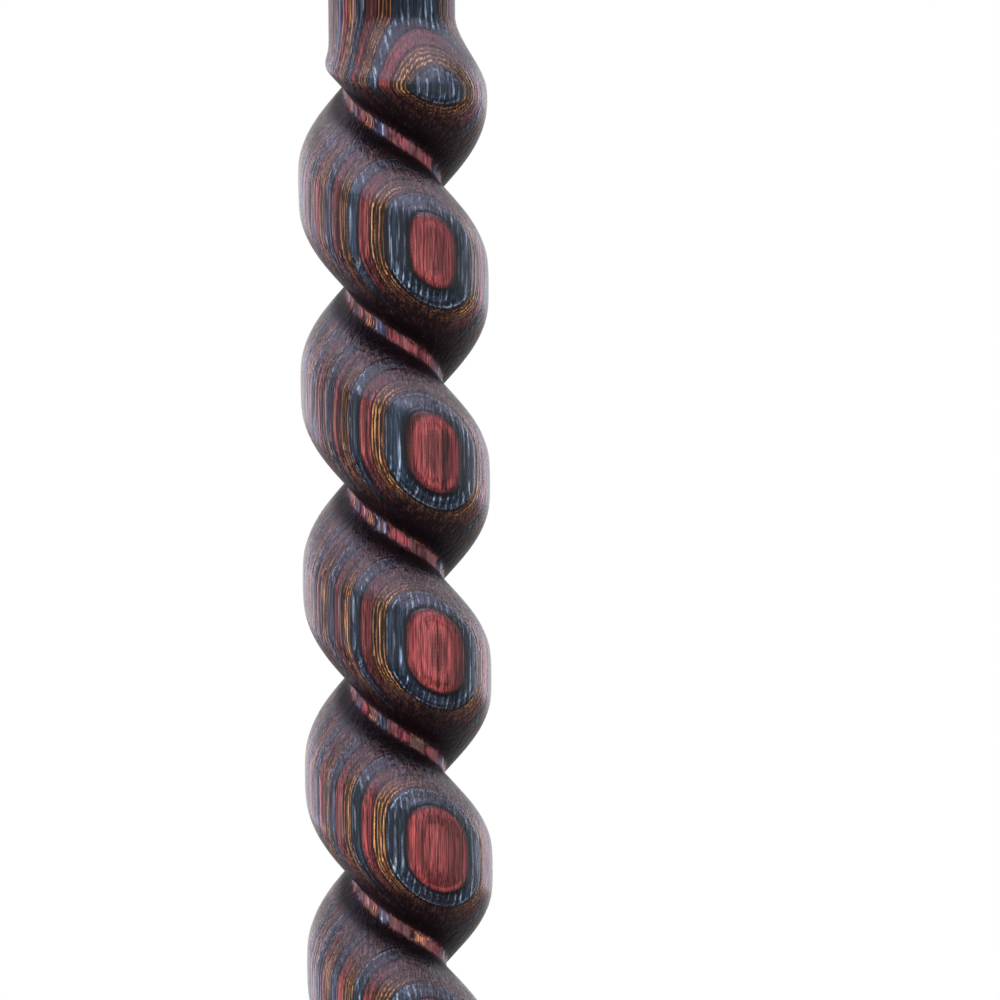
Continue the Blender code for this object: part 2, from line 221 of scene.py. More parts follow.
veneerSteps = {                      # where a soft step starts and ends, and its values there if not 0 and 1
    # by the surface's slant
    "upright": (0.32, 0.64, 1.0, 0.0),
    "flatOn": (0.35, 0.80),
    "sideOn": (0.32, 0.72, 1.0, 0.0),
    "edgeOn": (0.0, 1.0, 0.6, 1.0),
    "ragged": (0.0, 1.0, 1.0, 2.2),
    "redTilted": (0.10, 0.36, 0.0, 0.88),
    "goldTilted": (0.10, 0.40, 0.0, 0.60),
    "thinTilted": (0.12, 0.34),
    "goldStrays": (0.0, 1.0, 0.4, 1.0),
    "crest": (0.88, 0.97),
    # painted shade falls on undersides steeper than this
    "notUnderside": (-0.74, -0.45),
    "polished": (-0.45, -0.05, 0.08, 1.0),
    # by the distance from a joint between plies, in millimetres
    "ply": (-0.05, 0.05),
    "glueLine": (0.03, 0.16, 1.0, 0.0),
    "glueThins": (-0.02, 0.02, 0.35, 1.0),
    "redRim": (0.02, 0.30, 0.80, 0.0),
    "crestRim": (0.10, 0.46, 0.80, 0.0),
    "navyRim": (0.10, 0.50, 0.85, 0.0),
    "thinLayerGlints": (0.03, 0.10, 1.0, 0.0),
    # by the distance from the middle ply or from the stick's axis, in millimetres
    "heart": (10.0, 13.0, 1.0, 0.0),
    "within": (14.6, 16.0, 1.0, 0.0),
    # painted light on the groove's floor
    "grooveFloorLight": (9.3, 11.0, 1.0, 0.0),
    # painted shade beside the groove's floor
    "corner": (10.8, 13.6, 1.0, 0.0),
    "grooved": (11.2, 14.6, 1.0, 0.0),
    # by a ply's own chance
    "redPly": (0.1, 0.9, 0.35, 0.8),
    "goldPly": (0.0, 1.0, 0.5, 1.0),
    # by a noise or a comb
    "veins": (0.86, 0.99),
    "veinBreaks": (0.30, 0.46),
    "redBroad": (0.34, 0.56),
    "redLit": (0.47, 0.60),
    "dull": (0.42, 0.56, 0.92, 0.25),
    "crestPatches": (0.42, 0.56, 1.0, 0.35),
    "goldLine": (-0.10, 0.60),
    "goldDashes": (0.44, 0.56),
    "goldFine": (0.34, 0.48),
    "goldLit": (0.44, 0.56),
    "navyLit": (0.42, 0.58),
    "paleComb": (0.15, 0.85),
    "paleBreaks": (0.44, 0.56),
    "paleFine": (0.34, 0.54),
    "thinDashes": (0.47, 0.55),
    "linesEdgeOn": (0.38, 0.62, 0.15, 2.10),
    "linesFlatOn": (0.32, 0.68, 0.50, 1.45),
    "fibres": (0.30, 0.70, 0.25, 1.90),
    "hairs": (0.58, 0.65),
    "hairBreaks": (0.34, 0.50, 0.3, 1.0),
    "goldHairs": (0.34, 0.40, 1.0, 0.0),
    "goldHairBreaks": (0.42, 0.52, 0.1, 1.0),
    "grooveFloorLightHairs": (0.42, 0.58, 0.02, 0.20),
    "darkened": (0.38, 0.62, 0.58, 0.95),
    "flecks": (0.53, 0.62),
    "wornPores": (0.42, 0.60),
    "wornMottle": (0.40, 0.60),
}
veneerShares = {                     # how strongly each effect shows
    "poreTilt": 0.45, "veins": 0.85, "navyVeins": 0.60, "thinLayerGlints": 0.75, "glue": 0.92,
    "paleUpright": 0.65, "paleTilted": 0.20, "wine": 0.30, "hairs": 0.80, "goldHairs": 0.75,
    # painted shade: how much the groove and the undersides are darkened
    "grooveShadeShare": 0.80, "sideOnDry": 0.35, "navyDry": 0.22, "paintedShadeShare": 0.50,
    # painted shade: the corner share darkens beside the groove's floor
    "flecks": 0.75, "navyFlecks": 0.50, "corner": 0.75,
    "mattEnds": 0.60, "wornPores": 0.35, "wornMottle": 0.25, "mattGroove": 0.94,
}
lacquerRoughness = 0.18


def makeVeneerGroup():
    group, given, results, places = newGroup("veneerLayers", veneerInputs, veneerOutputs)
    tint = {name: (*colour, 1.0) for name, colour in veneerColours.items()}

    def chained(operation, values):
        total = values[0]
        for value in values[1:]:
            total = maths(group, operation, total, value)
        return total

    def sums(*values):
        return chained("ADD", values)

    def times(*values):
        return chained("MULTIPLY", values)

    def minus(first, second):
        return maths(group, "SUBTRACT", first, second)

    def without(value):
        return minus(1.0, value)

    def share(value, name):
        return times(value, veneerShares[name])

    def size(value):
        return maths(group, "ABSOLUTE", value)

    def step(value, name):
        return stepBetween(group, value, *veneerSteps[name])

    def paint(factor, wood, name):
        return blendColours(group, factor, wood, tint[name])

    def mixed(name):
        return sums(*(times(seen[part], amount) for part, amount in veneerMixes[name].items()))

    def noise(name):
        factors, detail, roughness = veneerNoises[name]
        return noiseOn(group, scaledPlaces(group, places, factors), detail, roughness)

    def poreNoise(name):  # where pores are cut across they show as short flecks that run down the slope
        around, up = poreWaves[name]
        spread = addNode(group, "ShaderNodeVectorMath", "spread", operation="MULTIPLY_ADD")
        feed(group, spread.inputs[0], outward.outputs[0])
        spread.inputs[1].default_value = (stickRadius * around, stickRadius * around, 0.0)
        feed(group, spread.inputs[2], scaledPlaces(group, places, (0.0, 0.0, up)))
        return noiseOn(group, spread.outputs[0], *poreTexture, fourth=times(reach, up))

    apart = addNode(group, "ShaderNodeSeparateXYZ", "places in mm")
    feed(group, apart.inputs[0], places)
    acrossPlies, alongPly, upGrain = apart.outputs
    sideways = scaledPlaces(group, places, (1.0, 1.0, 0.0))
    outward = addNode(group, "ShaderNodeVectorMath", "round the stick", operation="NORMALIZE")
    feed(group, outward.inputs[0], sideways)
    fromAxis = addNode(group, "ShaderNodeVectorMath", "reach", operation="LENGTH")
    feed(group, fromAxis.inputs[0], sideways)
    reach = fromAxis.outputs["Value"]
    pores, mottle = poreNoise("pores"), poreNoise("mottle")

    # how the surface cuts the plies
    tilt = sums(given["Slope"], share(minus(pores, 0.5), "poreTilt"))
    upright = step(tilt, "upright")
    cutAcross = without(upright)
    flatOn = step(given["Flat"], "flatOn")
    level = maths(group, "SQRT", without(times(given["Slope"], given["Slope"])))
    sideOn = step(maths(group, "DIVIDE", given["Flat"], level), "sideOn")

    # where each ply starts, and how far the nearest joint is
    wander = times(minus(noise("wander"), 0.5), given["Wander"])
    feather = times(minus(noise("feather"), 0.5), given["Feather"], step(cutAcross, "ragged"))
    lean = times(upGrain, given["Lean"], mm)
    across = sums(acrossPlies, given["Shift"], lean, times(wander, 2.0), times(feather, 2.0))
    goldStart = given["Red Ply"]
    navyStart = sums(goldStart, given["Gold Ply"])
    period = sums(navyStart, given["Navy Ply"])
    stacked = maths(group, "DIVIDE", across, period)
    inside = times(maths(group, "FRACT", stacked), period)
    intoGold, intoNavy = minus(inside, goldStart), minus(inside, navyStart)
    isGold, isNavy = step(intoGold, "ply"), step(intoNavy, "ply")
    nearest = chained("MINIMUM", (size(intoGold), size(intoNavy), inside, minus(period, inside)))
    glue = times(step(nearest, "glueLine"), step(feather, "glueThins"))

    plyNumber = sums(times(maths(group, "FLOOR", stacked), 3.0), isGold, isNavy)
    chance = addNode(group, "ShaderNodeTexWhiteNoise", "ply by ply", noise_dimensions="1D")
    feed(group, chance.inputs["W"], maths(group, "ROUND", plyNumber))
    tone = chance.outputs["Value"]

    # the grain is drawn out along Z: streaks and veins lie flat in a ply, thin layers run across it
    broad, streaks, layers = noise("broad"), noise("streaks"), noise("layers")
    fine, broken, fibres = noise("fine"), noise("broken"), noise("fibres")
    seen = {"alongPly": alongPly, "acrossPlies": acrossPlies, "broad": broad, "streaks": streaks,
            "broken": broken}
    veins = times(step(maths(group, "SINE", mixed("veinComb")), "veins"), step(broken, "veinBreaks"))

    redWood = blendColours(group, step(broad, "redBroad"), tint["redDark"], tint["redMid"])
    redWood = paint(times(step(streaks, "redLit"), step(tone, "redPly")), redWood, "redLight")
    dull = times(step(noise("dullness"), "dull"), step(size(acrossPlies), "heart"))
    redWood = paint(dull, redWood, "maroon")
    within = step(size(acrossPlies), "within")
    redWood = paint(times(step(tilt, "redTilted"), within), redWood, "redTilted")
    redWood = paint(share(veins, "veins"), redWood, "redVein")
    redWood = paint(step(nearest, "redRim"), redWood, "redVein")
    # the ovals on the lobes' crests darken unevenly towards their rims
    crest = times(step(given["Flat"], "crest"), step(broad, "crestPatches"))
    redWood = paint(times(step(nearest, "crestRim"), crest), redWood, "maroon")

    # a gold ply shows its own thin light and dark layers, broken into dashes where it is cut across
    strays = times(mixed("goldStrays"), step(flatOn, "goldStrays"))
    layerWave = maths(group, "SINE", sums(times(intoGold, goldWaves), strays))
    dashed = blendColours(group, upright, step(pores, "goldDashes"), step(fine, "goldFine"))
    goldLine = times(step(layerWave, "goldLine"), dashed)
    goldWood = blendColours(group, goldLine, tint["goldDark"], tint["goldMid"])
    goldWood = paint(times(goldLine, step(streaks, "goldLit"), step(tone, "goldPly")), goldWood, "goldLight")
    goldWood = paint(times(step(tilt, "goldTilted"), within), goldWood, "goldTilted")

    # a navy ply is slate with broken pale streaks that are painted highlights, and darkens towards its joints
    navyWood = blendColours(group, step(streaks, "navyLit"), tint["navyMid"], tint["navyLight"])
    navyWood = paint(share(veins, "navyVeins"), navyWood, "navyDark")
    paleComb = maths(group, "SINE", mixed("paleComb"))
    onSlant = sums(share(upright, "paleUpright"), veneerShares["paleTilted"])
    paintedGlintStreak = times(step(paleComb, "paleComb"), step(broken, "paleBreaks"), step(fine, "paleFine"))
    navyWood = paint(times(paintedGlintStreak, onSlant, flatOn), navyWood, "paintedGlintStreak")
    navyWood = paint(step(nearest, "navyRim"), navyWood, "navyDark")
    # painted glints: pale dashes along a thin layer in it run round a lobe
    thinLayerGlints = times(step(size(minus(intoNavy, thinLayerDepth)), "thinLayerGlints"), step(pores, "thinDashes"))
    thinLayerGlints = share(times(thinLayerGlints, step(tilt, "thinTilted")), "thinLayerGlints")
    navyWood = paint(thinLayerGlints, navyWood, "paintedGlintStreak")

    wood = blendColours(group, isGold, redWood, goldWood)
    wood = blendColours(group, isNavy, wood, navyWood)
    lines = blendColours(group, flatOn, step(layers, "linesEdgeOn"), step(layers, "linesFlatOn"))
    fibreTone = times(step(fibres, "fibres"), lines)
    grey = addNode(group, "ShaderNodeCombineColor", "light and dark fibres")
    for socket in grey.inputs[:3]:
        feed(group, socket, fibreTone)
    stained = blendColours(group, 1.0, wood, grey.outputs[0], "MULTIPLY")
    wood = blendColours(group, given["Stain"], wood, stained)
    wood = paint(share(glue, "glue"), wood, "glue")

    # edge-on, the plies' own thin layers show as pale hairs
    edgeOn = times(sideOn, step(upright, "edgeOn"))
    wood = paint(share(edgeOn, "wine"), wood, "wine")
    hairNoise = noise("hairs")
    hairs = times(edgeOn, step(hairNoise, "hairs"), step(fibres, "hairBreaks"))
    hairTint = blendColours(group, isNavy, tint["paleHair"], tint["lilacHair"])
    wood = blendColours(group, share(hairs, "hairs"), wood, hairTint)
    goldHairs = times(edgeOn, step(hairNoise, "goldHairs"), step(broken, "goldHairBreaks"))
    wood = paint(share(goldHairs, "goldHairs"), wood, "goldHair")

    # painted light: the groove's floor is made paler and brighter, as if light fell on it
    grooveFloorLight = step(reach, "grooveFloorLight")
    wood = blendColours(group, grooveFloorLight, wood, blendColours(group, 1.0, wood, tint["grooveFloorLight"], "MULTIPLY"))
    wood = paint(times(grooveFloorLight, step(broken, "grooveFloorLightHairs")), wood, "paleHair")

    # where the carving cuts across the grain, the wood drinks more lacquer and darkens; the undersides and
    # the groove are darkened further with the same colour, which is painted shade
    grooved = step(reach, "grooved")
    notUnderside = step(given["Rise"], "notUnderside")
    paintedShadeMask = maths(group, "MAXIMUM", without(notUnderside), share(grooved, "grooveShadeShare"))
    dry = times(without(share(sideOn, "sideOnDry")), without(share(isNavy, "navyDry")))
    darkened = sums(times(step(mottle, "darkened"), dry), share(paintedShadeMask, "paintedShadeShare"))
    wood = paint(maths(group, "MULTIPLY", cutAcross, darkened, clampIt=True), wood, "endGrainAndShade")
    flecks = times(step(pores, "flecks"), minus(veneerShares["flecks"], share(isNavy, "navyFlecks")))
    wood = paint(times(cutAcross, flecks, without(paintedShadeMask)), wood, "endFleck")
    # painted shade: the corners beside the groove's floor are darkened with the glue colour
    wood = paint(share(times(step(reach, "corner"), without(grooveFloorLight), cutAcross), "corner"), wood, "glue")
    feed(group, results["Color"], wood)

    # harder plies stand a little proud, and the lacquer follows the grain
    seen.update(layers=layers, fine=fine, cutAcross=cutAcross, veins=veins, pores=pores, mottle=mottle,
                isNavy=isNavy, glue=glue)
    feed(group, results["Roughness"], sums(mixed("rough"), lacquerRoughness))
    relief = blendColours(group, upright, mixed("endRelief"), mixed("grainRelief"))
    feed(group, results["Height"], sums(relief, mixed("plyRelief")))
    worn = sums(share(step(pores, "wornPores"), "wornPores"), share(step(mottle, "wornMottle"), "wornMottle"))
    matt = times(minus(veneerShares["mattEnds"], worn), cutAcross)
    matt = maths(group, "MAXIMUM", matt, share(grooved, "mattGroove"))
    feed(group, results["Polish"], times(step(given["Rise"], "polished"), without(matt)))
    return group


# Handling marks: faint smudges, hair scratches and specks that metal and rubber share
handlingInputs = (
    ("Places", "Vector", None),       # metres
    ("Smudge Size", "Float", 12.0),   # millimetres
    ("Scratch Amount", "Float", 0.3),
    ("Speck Amount", "Float", 0.3),
)
# waves a millimetre; detail, roughness and distortion; where a mark starts and is full
handlingMarks = {
    "smudge": (None, (4.0, 0.6, 0.4), (0.35, 0.70)),    # as large as the Smudge Size
    "hairsAround": ((0.35, 0.35, 6.0), (2.0, 0.7, 0.3), (0.66, 0.74)),
    "hairsAlong": ((4.5, 4.5, 0.3), (2.0, 0.7, 0.5), (0.68, 0.76)),
    "specks": ((3.0, 3.0, 3.0), (2.0, 0.6, 0.0), (0.64, 0.78)),
}


def makeHandlingGroup():
    outputs = (("Smudge", "Float"), ("Scratch", "Float"), ("Speck", "Float"))
    group, given, results, places = newGroup("handlingMarks", handlingInputs, outputs)

    def marks(name):
        waves, texture, span = handlingMarks[name]
        if waves is None:
            placed = sizedPlaces(group, places, given["Smudge Size"])
        else:
            placed = scaledPlaces(group, places, waves)
        return stepBetween(group, noiseOn(group, placed, *texture), *span)

    hair = maths(group, "MAXIMUM", marks("hairsAround"), marks("hairsAlong"))
    feed(group, results["Smudge"], marks("smudge"))
    feed(group, results["Scratch"], maths(group, "MULTIPLY", hair, given["Scratch Amount"]))
    feed(group, results["Speck"], maths(group, "MULTIPLY", marks("specks"), given["Speck Amount"]))
    return group


# Moulded skin: the fine grain of rubber out of a blasted mould
skinInputs = (
    ("Places", "Vector", None),       # metres
    ("Grain Size", "Float", 0.35),    # millimetres
)
skinTextures = {"grain": (3.0, 0.6), "cloud": (4.0, 0.6)}    # detail and roughness
cloudWaves = (0.11, 0.11, 0.16)       # a millimetre


def makeMouldedGroup():
    outputs = (("Grain", "Float"), ("Cloud", "Float"))
    group, given, results, places = newGroup("mouldedSkin", skinInputs, outputs)
    grained = sizedPlaces(group, places, given["Grain Size"])
    feed(group, results["Grain"], noiseOn(group, grained, *skinTextures["grain"]))
    clouded = scaledPlaces(group, places, cloudWaves)
    feed(group, results["Cloud"], noiseOn(group, clouded, *skinTextures["cloud"]))
    return group


veneerGroup = makeVeneerGroup()
handlingGroup = makeHandlingGroup()
mouldedGroup = makeMouldedGroup()
print("node groups ready")


def newMaterial(name, **values):
    made = bpy.data.materials.new(name)
    made.use_nodes = True
    shader = made.node_tree.nodes["Principled BSDF"]
    for label, value in values.items():
        shader.inputs[label].default_value = value
    return made, made.node_tree, shader


def objectPlaces(tree):
    return addNode(tree, "ShaderNodeTexCoord", "object places").outputs["Object"]


def placeGroup(tree, group, places, **values):
    node = addNode(tree, "ShaderNodeGroup", group.name, node_tree=group)
    feed(tree, node.inputs["Places"], places)
    for label, value in values.items():
        feed(tree, node.inputs[label], value)
    return node.outputs


def coverWith(tree, shader, colour, roughness, height, strength, depth):
    bump = addNode(tree, "ShaderNodeBump", "bump")
    bump.inputs["Strength"].default_value = strength
    bump.inputs["Distance"].default_value = depth
    feed(tree, bump.inputs["Height"], height)
    normal = bump.outputs[0]
    feed(tree, shader.inputs["Base Color"], colour)
    feed(tree, shader.inputs["Roughness"], roughness)
    feed(tree, shader.inputs["Normal"], normal)
    feed(tree, shader.inputs["Coat Normal"], normal)


woodLook = {
    "shader": {"IOR": 1.45, "Specular IOR Level": 0.05, "Coat Roughness": 0.24, "Coat IOR": 1.30},
    "bump": (0.7, 0.14 * mm),          # strength and depth, here and below
    "handleMiddle": 0.923,             # height of the grip's middle
}


def makeWood(name, alongHandle, **values):
    made, tree, shader = newMaterial(name, **woodLook["shader"])
    places = objectPlaces(tree)
    facing = addNode(tree, "ShaderNodeSeparateXYZ", "which way the surface faces")
    feed(tree, facing.inputs[0], addNode(tree, "ShaderNodeTexCoord", "object normal").outputs["Normal"])
    rise = slope = facing.outputs[2]
    flat = facing.outputs[1 if alongHandle else 0]
    if alongHandle:  # plies square to Y, grain along X
        slope = facing.outputs[0]
        apart = addNode(tree, "ShaderNodeSeparateXYZ", "handle places")
        feed(tree, apart.inputs[0], places)
        turned = addNode(tree, "ShaderNodeCombineXYZ", "grain along the handle")
        upright = maths(tree, "SUBTRACT", apart.outputs[2], woodLook["handleMiddle"])
        for socket, source in zip(turned.inputs, (apart.outputs[1], upright, apart.outputs[0])):
            feed(tree, socket, source)
        places = turned.outputs[0]
    layers = placeGroup(tree, veneerGroup, places, Slope=maths(tree, "ABSOLUTE", slope), Rise=rise,
                        Flat=maths(tree, "ABSOLUTE", flat), **values)
    feed(tree, shader.inputs["Coat Weight"], layers["Polish"])
    coverWith(tree, shader, layers["Color"], layers["Roughness"], layers["Height"], *woodLook["bump"])
    return made


rubberLook = {
    "colour": (0.0055, 0.0055, 0.0060, 1.0),
    "dusty": (0.024, 0.023, 0.022, 1.0),
    # paler flute edges: partly wear, partly a painted highlight
    "rubbedAndHighlit": (0.200, 0.200, 0.205, 1.0),
    "shader": {"IOR": 1.45, "Specular IOR Level": 0.24},
    "marks": {"Smudge Size": 9.0, "Speck Amount": 0.35},
    "smudgeDust": 0.10,
    "patches": (0.36, 0.60, 0.45, 1.0),    # the rubbing and the painted highlight are uneven: a soft step over the skin's clouds
    "roughness": {"least": 0.17, "clouds": 0.18, "specks": 0.3},
    "bump": (0.5, 0.03 * mm),
}


def makeRubber():
    r, rough = rubberLook, rubberLook["roughness"]
    made, tree, shader = newMaterial("ferruleRubber", **r["shader"])
    places = objectPlaces(tree)
    skin = placeGroup(tree, mouldedGroup, places)
    marks = placeGroup(tree, handlingGroup, places, **r["marks"])
    dust = maths(tree, "MULTIPLY_ADD", marks["Smudge"], r["smudgeDust"], marks["Speck"])
    colour = blendColours(tree, dust, r["colour"], r["dusty"])
    worn = addNode(tree, "ShaderNodeAttribute", "rubbed edges", attribute_name="rubbedAndHighlit").outputs["Fac"]
    patchy = stepBetween(tree, skin["Cloud"], *r["patches"])
    colour = blendColours(tree, maths(tree, "MULTIPLY", worn, patchy), colour, r["rubbedAndHighlit"])
    roughness = maths(tree, "MULTIPLY_ADD", skin["Cloud"], rough["clouds"], rough["least"])
    roughness = maths(tree, "MULTIPLY_ADD", marks["Speck"], rough["specks"], roughness)
    coverWith(tree, shader, colour, roughness, skin["Grain"], *r["bump"])
    return made


brassLook = {
    "bright": (0.600, 0.375, 0.145, 1.0),
    "tarnished": (0.300, 0.160, 0.062, 1.0),
    "speck": (0.200, 0.110, 0.050, 1.0),
    "marks": {"Smudge Size": 6.0, "Scratch Amount": 0.5, "Speck Amount": 0.3},
    "turnedWaves": (60.0, 60.0, 2400.0),   # a metre, round and along the collar
    "turnedTexture": (3.0, 0.7),           # detail and roughness
    "turnedStep": (0.36, 0.64),
    "tarnish": {"smudges": 0.55, "turned": 0.30},
    "roughness": {"least": 0.16, "smudges": 0.12, "scratches": 0.2},
    "bump": (0.25, 0.02 * mm),
}


def makeBrass():
    b, rough = brassLook, brassLook["roughness"]
    made, tree, shader = newMaterial("collarBrass", Metallic=1.0)
    places = objectPlaces(tree)
    marks = placeGroup(tree, handlingGroup, places, **b["marks"])
    turned = noiseOn(tree, scaledPlaces(tree, places, b["turnedWaves"]), *b["turnedTexture"])
    turned = stepBetween(tree, turned, *b["turnedStep"])
    tarnish = maths(tree, "MULTIPLY", turned, b["tarnish"]["turned"])
    tarnish = maths(tree, "MULTIPLY_ADD", marks["Smudge"], b["tarnish"]["smudges"], tarnish)
    colour = blendColours(tree, tarnish, b["bright"], b["tarnished"])
    colour = blendColours(tree, marks["Speck"], colour, b["speck"])
    roughness = maths(tree, "MULTIPLY_ADD", marks["Smudge"], rough["smudges"], rough["least"])
    roughness = maths(tree, "MULTIPLY_ADD", marks["Scratch"], rough["scratches"], roughness)
    height = maths(tree, "ADD", marks["Scratch"], turned)
    coverWith(tree, shader, colour, roughness, height, *b["bump"])
    return made


steelLook = {
    "studColour": (0.56, 0.56, 0.55),
    "studRoughness": 0.32,
    "washerColour": (0.62, 0.61, 0.60),
    "washerRoughness": 0.28,
    "dullShare": 0.62,
    "speck": (0.16, 0.13, 0.10, 1.0),
    "marks": {"Smudge Size": 5.0, "Scratch Amount": 0.8, "Speck Amount": 0.5},
    "scratchRoughness": 0.25,
    "bump": (0.3, 0.02 * mm),
}


def makeSteel(part):
    s, colour = steelLook, steelLook[part + "Colour"]
    made, tree, shader = newMaterial(part + "Steel", Metallic=1.0)
    marks = placeGroup(tree, handlingGroup, objectPlaces(tree), **s["marks"])
    dull = (*(channel * s["dullShare"] for channel in colour), 1.0)
    tint = blendColours(tree, marks["Smudge"], (*colour, 1.0), dull)
    tint = blendColours(tree, marks["Speck"], tint, s["speck"])
    roughness = maths(tree, "MULTIPLY_ADD", marks["Scratch"], s["scratchRoughness"], s[part + "Roughness"])
    coverWith(tree, shader, tint, roughness, marks["Scratch"], *s["bump"])
    return made


def finishPiece(piece, body, node, material):
    piece.data.materials.clear()
    piece.data.materials.append(material)
    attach(piece, body)
    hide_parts(node)
    print("made", piece.name)


def addObject(name, data):
    made = bpy.data.objects.new(name, data)
    bpy.context.scene.collection.objects.link(made)
    return made


def newPiece(name, shape, sharpAngle=None):
    mesh = bpy.data.meshes.new(name)
    shape.to_mesh(mesh)
    shape.free()
    mesh.shade_smooth()
    if sharpAngle is not None:
        mesh.set_sharp_from_angle(angle=sharpAngle)
    return addObject(name, mesh)


def ringAt(shape, radii, height, phase=0.0):
    ring = []
    for index, radius in enumerate(radii):
        angle = phase + fullTurn * index / len(radii)
        ring.append(shape.verts.new((radius * math.cos(angle), radius * math.sin(angle), height)))
    return ring


def joinRings(shape, lower, upper, leftOpen=()):
    count = len(lower)
    for index in range(count):
        if index not in leftOpen:
            following = (index + 1) % count
            shape.faces.new((lower[index], lower[following], upper[following], upper[index]))


def loftRings(shape, rings):
    for lower, upper in zip(rings, rings[1:]):
        joinRings(shape, lower, upper)


def closeEnds(shape, rings):
    shape.faces.new(list(reversed(rings[0])))
    shape.faces.new(rings[-1])


def lathe(name, profile, count, sharpAngle=None):
    shape = bmesh.new()
    rings = [ringAt(shape, [radius] * count, height) for radius, height in profile]
    loftRings(shape, rings + rings[:1])
    bmesh.ops.recalc_face_normals(shape, faces=shape.faces)
    return newPiece(name, shape, sharpAngle)


# Shaft: a turned blank with a left-handed twist carved into its middle
shaftBottom, shaftTop = (corner.z for corner in map(Vector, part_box("shaft")))
shaftShape = {
    "crestRadius": min(map(abs, (*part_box("shaft")[0][:2], *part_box("shaft")[1][:2]))),
    "grooveRadius": 8.4 * mm,
    "floorRadius": 9.3 * mm,
    "floorBlend": 0.9 * mm,
    "neckRadius": 12.5 * mm,
    "tipRadius": 11.75 * mm,
    "tipChamfer": 0.8 * mm,
    "chamferSteps": 4,
    "taperFrom": 0.126,
    "taperTo": 0.172,
    "pitch": 0.0390,
    "turns": 15.4,
    "grooveStart": 0.179,
    "grooveBearing": math.radians(-66.7),
    "lobePower": 2.7,
    "lobeSharpness": 1.3,
    "edgeBlend": 0.6 * mm,
    "upperEdgeBlend": 1.8 * mm,
    "lowerShoulder": (11.0 * mm, 13.0 * mm),   # below and above the groove's start
    "upperShoulder": (12.0 * mm, 4.0 * mm),    # below and above the groove's end
    "upperSwing": 5.5 * mm,                    # how far it swings down just past the groove
    "upperSwingShare": 0.17,                   # and where round the section
    "lowerRunOut": 21.5 * mm,
    "upperRunOut": 12.0 * mm,
    "runOutPower": 1.6,
    "pointsAround": 120,
    "ringsPerTurn": 46,
    "plainStep": 3.0 * mm,
    "sharpAngle": math.radians(50.0),
}
grooveEnd = shaftShape["grooveStart"] + shaftShape["pitch"] * shaftShape["turns"]
twistBottom = shaftShape["grooveStart"] - shaftShape["lowerShoulder"][0]
twistTop = grooveEnd + shaftShape["upperShoulder"][1]
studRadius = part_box("handle_stud")[1][0]
studBottom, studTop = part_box("handle_stud")[0][2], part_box("handle_stud")[1][2]
studHole = {"radius": studRadius + 0.3 * mm, "endGap": 0.5 * mm}


def upperFall(height, share):
    s = shaftShape
    nearness = 0.5 + 0.5 * math.cos(fullTurn * (share - s["upperSwingShare"]))
    swung = height + s["upperSwing"] * nearness * nearness
    return smoothStep(grooveEnd - s["upperShoulder"][0], twistTop, swung)


def blankRadius(height, share=0.0):
    s = shaftShape
    tapered = smoothStep(s["taperFrom"], s["taperTo"], height)
    plain = s["tipRadius"] + (s["neckRadius"] - s["tipRadius"]) * tapered
    rise = smoothStep(twistBottom, s["grooveStart"] + s["lowerShoulder"][1], height)
    return plain + (s["crestRadius"] - plain) * rise * (1.0 - upperFall(height, share))


def lobeRadius(share):  # two lobes' flanks meet in a groove whose floor is rounded out
    s = shaftShape
    fullness = max(1.0 - abs(2.0 * share - 1.0) ** s["lobePower"], 0.0) ** s["lobeSharpness"]
    flank = s["grooveRadius"] + (s["crestRadius"] - s["grooveRadius"]) * fullness
    return -smoothMin(-flank, -s["floorRadius"], s["floorBlend"])


def grooveLift(height):  # the carving tool leaves the work at both ends of the groove
    s = shaftShape
    below = max(1.0 - (height - s["grooveStart"]) / s["lowerRunOut"], 0.0) ** s["runOutPower"]
    above = max(1.0 - (grooveEnd - height) / s["upperRunOut"], 0.0) ** s["runOutPower"]
    return max((blankRadius(s["grooveStart"]) - s["floorRadius"]) * below,
               (blankRadius(grooveEnd) - s["floorRadius"]) * above)


def shaftRadius(height, share):
    s = shaftShape
    grooveHeight = height - share * s["pitch"] + (s["pitch"] if share > 0.5 else 0.0)
    blend = s["edgeBlend"] + (s["upperEdgeBlend"] - s["edgeBlend"]) * upperFall(height, share)
    return smoothMin(blankRadius(height, share), lobeRadius(share) + grooveLift(grooveHeight), blend)


def grooveBearing(height):
    climbed = clamp(height, twistBottom, twistTop) - shaftShape["grooveStart"]
    return shaftShape["grooveBearing"] - fullTurn * climbed / shaftShape["pitch"]


def evenHeights(low, high, step):
    count = math.ceil((high - low) / step)
    return [low + (high - low) * index / count for index in range(count)]


def makeShaft():
    s = shaftShape
    shares = [index / s["pointsAround"] for index in range(s["pointsAround"])]
    chamfer = s["tipChamfer"]
    edge = arc((chamfer, chamfer), (-chamfer, -chamfer), 90, 0, s["chamferSteps"])
    sections = [(shaftBottom + drop, inset) for inset, drop in edge]
    heights = evenHeights(shaftBottom + 2.0 * chamfer, twistBottom, s["plainStep"])
    heights += evenHeights(twistBottom, twistTop, s["pitch"] / s["ringsPerTurn"])
    heights += evenHeights(twistTop, shaftTop, s["plainStep"]) + [shaftTop]
    sections += [(height, 0.0) for height in heights]
    shape = bmesh.new()
    rings = []
    for height, inset in sections:
        radii = [shaftRadius(height, share) - inset for share in shares]
        rings.append(ringAt(shape, radii, height, grooveBearing(height)))
    for height in (shaftTop, studBottom - studHole["endGap"]):
        radii = [studHole["radius"]] * s["pointsAround"]
        rings.append(ringAt(shape, radii, height, grooveBearing(shaftTop)))
    loftRings(shape, rings)
    closeEnds(shape, rings)
    return newPiece("carvedShaft", shape, s["sharpAngle"])


shaftWood = makeWood("shaftWood", False)
finishPiece(makeShaft(), "cane", "shaft", shaftWood)


